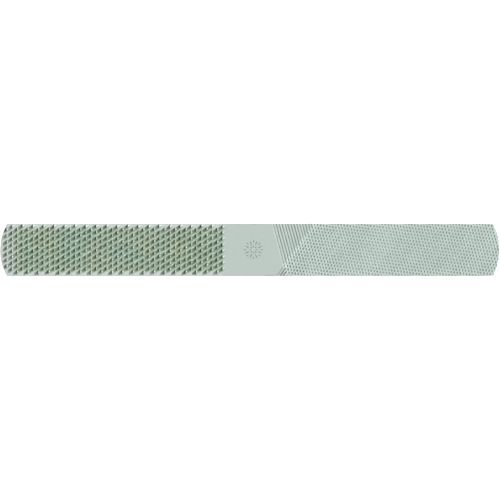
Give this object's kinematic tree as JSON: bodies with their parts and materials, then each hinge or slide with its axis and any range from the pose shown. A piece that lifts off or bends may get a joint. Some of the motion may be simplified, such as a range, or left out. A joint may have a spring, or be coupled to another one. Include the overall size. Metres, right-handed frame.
{
  "type": "wood rasp",
  "caption": "Flat hand rasp without a handle: one steel bar with a flat face and a half-round belly, rasp teeth on one half, double-cut file on the other, plain grip land between.",
  "frame": {"origin": "middle of the bar's length and width, at the plane that touches the lowest tooth tips of the belly", "axes": "+X along the bar towards the file-cut end, so the rasp-toothed end is at -X; +Z out of the flat face; +Y across the bar"},
  "size_m": [0.2032, 0.0212, 0.0075],
  "materials": {
    "hardened_steel": "satin, bead-blasted grey with a slight green cast"
  },
  "bodies": {
    "root": {"rasp_bar": "hardened_steel"}
  },
  "joints": []
}
